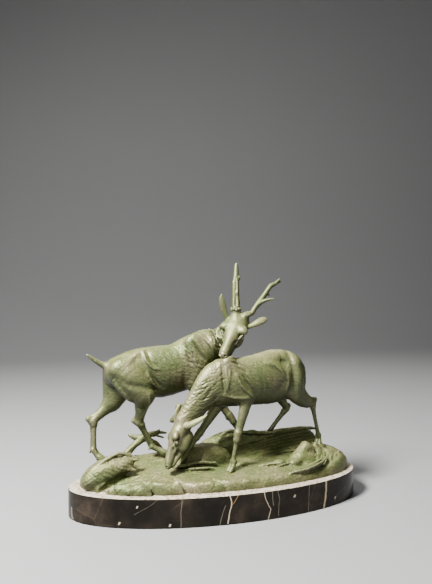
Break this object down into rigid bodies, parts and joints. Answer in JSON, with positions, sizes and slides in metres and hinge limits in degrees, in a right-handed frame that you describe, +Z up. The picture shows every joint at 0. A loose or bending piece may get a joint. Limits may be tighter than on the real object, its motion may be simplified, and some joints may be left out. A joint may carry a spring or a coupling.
{
  "type": "bronze deer sculpture",
  "caption": "Bronze group of a standing stag with his chin on the back of a grazing doe, on rocky ground with fallen wood, seated on an oval veined marble plinth.",
  "frame": {"origin": "centre of the plinth's underside", "axes": "+X along the oval's long axis to the viewer's right, +Y away from the viewer, +Z up"},
  "size_m": [0.4, 0.16, 0.3297],
  "materials": {
    "patinated_bronze": "green and brown patina over cast bronze, satin",
    "dark_veined_marble": "polished dark brown marble with cream and rust veins"
  },
  "bodies": {
    "root": {"bronze_group": "patinated_bronze", "marble_plinth": "dark_veined_marble"}
  },
  "joints": []
}
